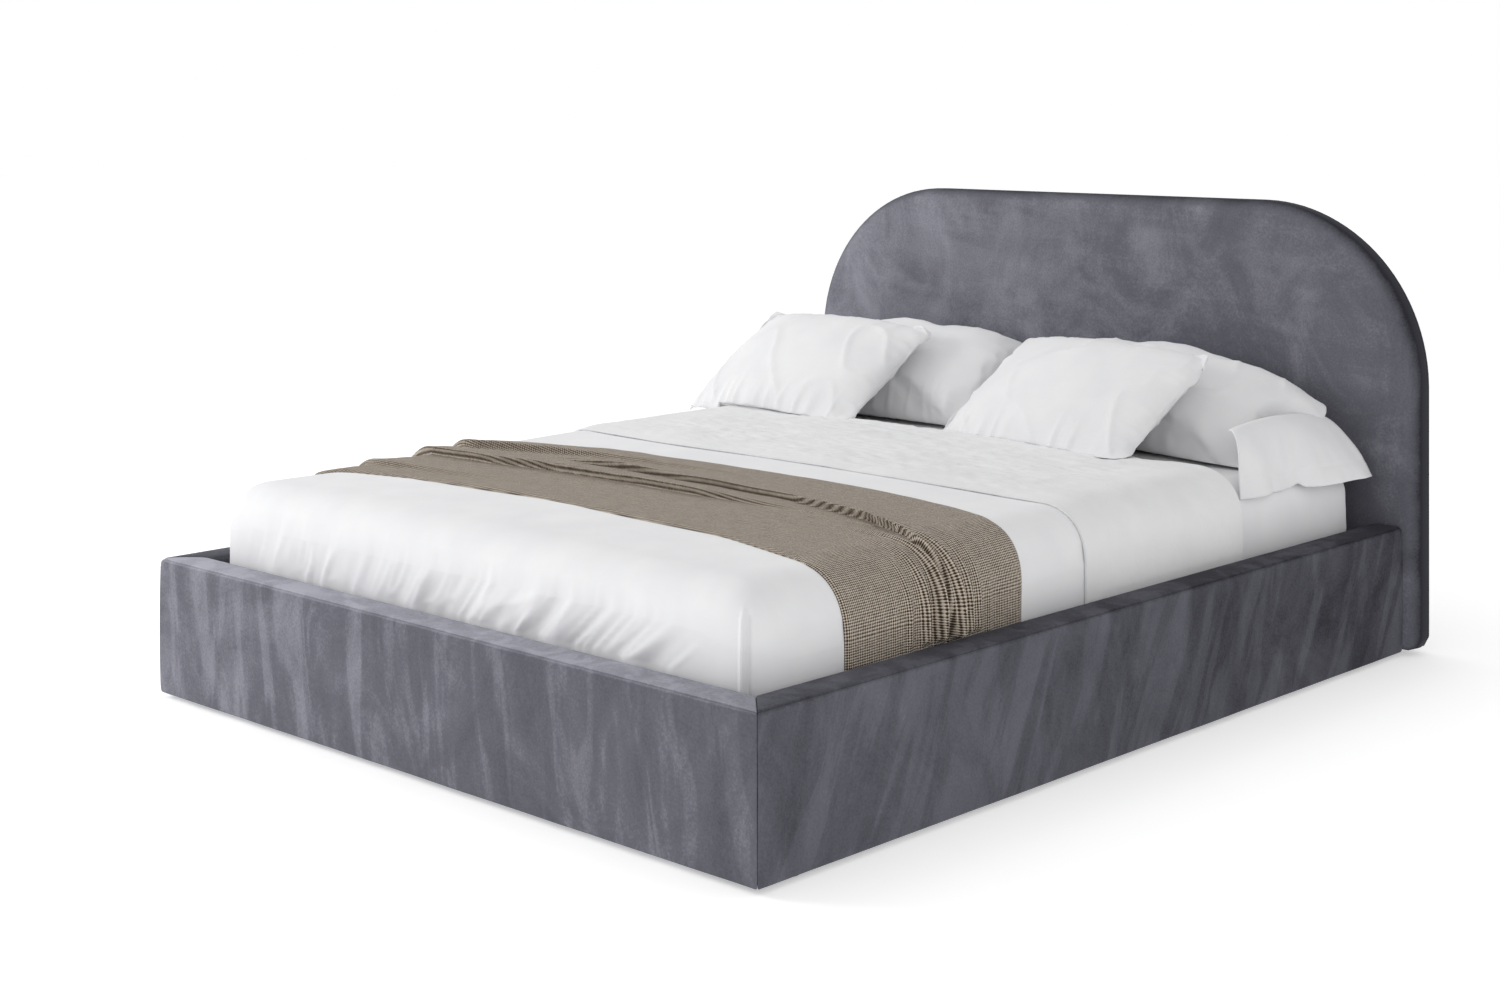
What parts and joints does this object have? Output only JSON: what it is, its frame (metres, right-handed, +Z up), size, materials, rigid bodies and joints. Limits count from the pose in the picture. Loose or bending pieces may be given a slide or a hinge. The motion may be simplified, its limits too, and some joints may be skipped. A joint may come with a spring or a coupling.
{
  "type": "upholstered storage bed",
  "caption": "Velvet box bed with an arched headboard, a mattress, pillows and bedding, and a slatted platform that lifts on gas struts over a storage space.",
  "frame": {"origin": "on the floor under the middle of the whole bed", "axes": "+Y towards the headboard, +X towards the right-hand rail as seen by someone standing at the foot and facing the headboard, +Z up"},
  "size_m": [1.842, 2.251, 1.042],
  "materials": {
    "velvet": "brushed velvet, matt with a nap sheen",
    "timber": "planed softwood",
    "board": "fibreboard, matt",
    "slat_pine": "planed pine",
    "black_cloth": "thin non-woven dust cloth",
    "black_plastic": "moulded, matt",
    "zinc_steel": "zinc plated",
    "grey_steel": "powder coated, satin",
    "black_steel": "gloss black enamel",
    "chrome_steel": "polished rod",
    "mattress_cloth": "smooth cotton sheet",
    "white_cotton": "soft washed cotton, matt",
    "brown_twill": "woven wool twill",
    "strap_web": "woven polyester webbing"
  },
  "bodies": {
    "bed_frame": {"foot_rail_core": "timber", "foot_rail_upholstery": "velvet", "side_rail_core_left": "timber", "side_rail_core_right": "timber", "side_rail_upholstery_left": "velvet", "side_rail_upholstery_right": "velvet", "head_cross_board": "board", "headboard_core": "timber", "headboard_upholstery": "velvet", "headboard_back_cloth": "black_cloth", "corner_bracket_left": "zinc_steel", "corner_bracket_right": "zinc_steel", "headboard_bracket_left": "zinc_steel", "headboard_bracket_right": "zinc_steel", "storage_floor_left": "board", "storage_floor_right": "board", "support_ledge_left": "timber", "support_ledge_right": "timber", "support_ledge_foot": "timber", "glide_foot_left": "black_plastic", "glide_foot_right": "black_plastic", "glide_head_left": "black_plastic", "glide_head_right": "black_plastic", "hinge_base_left": "grey_steel", "hinge_base_right": "grey_steel"},
    "rear_arms": {"rear_arm_left": "grey_steel", "rear_arm_right": "grey_steel"},
    "lift_platform": {"lift_side_tube_left": "grey_steel", "lift_side_tube_right": "grey_steel", "lift_lug_left": "grey_steel", "lift_lug_right": "grey_steel", "lift_foot_tube": "grey_steel", "lift_head_tube": "grey_steel", "lift_centre_tube": "grey_steel", "slat_01": "slat_pine", "slat_02": "slat_pine", "slat_03": "slat_pine", "slat_04": "slat_pine", "slat_05": "slat_pine", "slat_06": "slat_pine", "slat_07": "slat_pine", "slat_08": "slat_pine", "slat_09": "slat_pine", "slat_10": "slat_pine", "slat_11": "slat_pine", "pull_strap": "strap_web", "mattress": "mattress_cloth", "duvet": "white_cotton", "duvet_turndown": "white_cotton", "throw": "brown_twill", "pillow_front_left": "white_cotton", "pillow_front_right": "white_cotton", "pillow_rear_left": "white_cotton", "pillow_rear_right": "white_cotton"},
    "front_arms": {"front_arm_left": "grey_steel", "front_arm_right": "grey_steel"},
    "strut_cylinders": {"strut_cylinder_left": "black_steel", "strut_cylinder_right": "black_steel"},
    "strut_rods": {"strut_rod_left": "chrome_steel", "strut_rod_right": "chrome_steel"}
  },
  "joints": [
    {"name": "lift", "type": "hinge", "parent": "bed_frame", "child": "rear_arms", "pos_m": [0, 0.37782, 0.05643], "axis": [1, 0, 0], "range_deg": [0, 55]},
    {"name": "platform_tilt", "type": "hinge", "parent": "rear_arms", "child": "lift_platform", "pos_m": [0, 0.69754, 0.19], "axis": [-1, 0, 0], "range_deg": [0, 84.96]},
    {"name": "front_arm_swing", "type": "hinge", "parent": "bed_frame", "child": "front_arms", "pos_m": [0, -0.02165, 0.09036], "axis": [1, 0, 0], "range_deg": [0, 45.39]},
    {"name": "strut_swing", "type": "hinge", "parent": "bed_frame", "child": "strut_cylinders", "pos_m": [0, 0.03835, 0.04], "axis": [1, 0, 0], "range_deg": [0, 46.81]},
    {"name": "strut_stroke", "type": "slide", "parent": "strut_cylinders", "child": "strut_rods", "axis": [0, 0.9229, 0.3851], "range_m": [0, 0.0604]}
  ],
  "couplings": [
    {"joint": "platform_tilt", "follows": "lift", "ratio": 1.5444},
    {"joint": "front_arm_swing", "follows": "lift", "ratio": 0.82483},
    {"joint": "strut_swing", "follows": "lift", "ratio": 0.8508},
    {"joint": "strut_stroke", "follows": "lift", "m_per_rad": 0.0628}
  ]
}
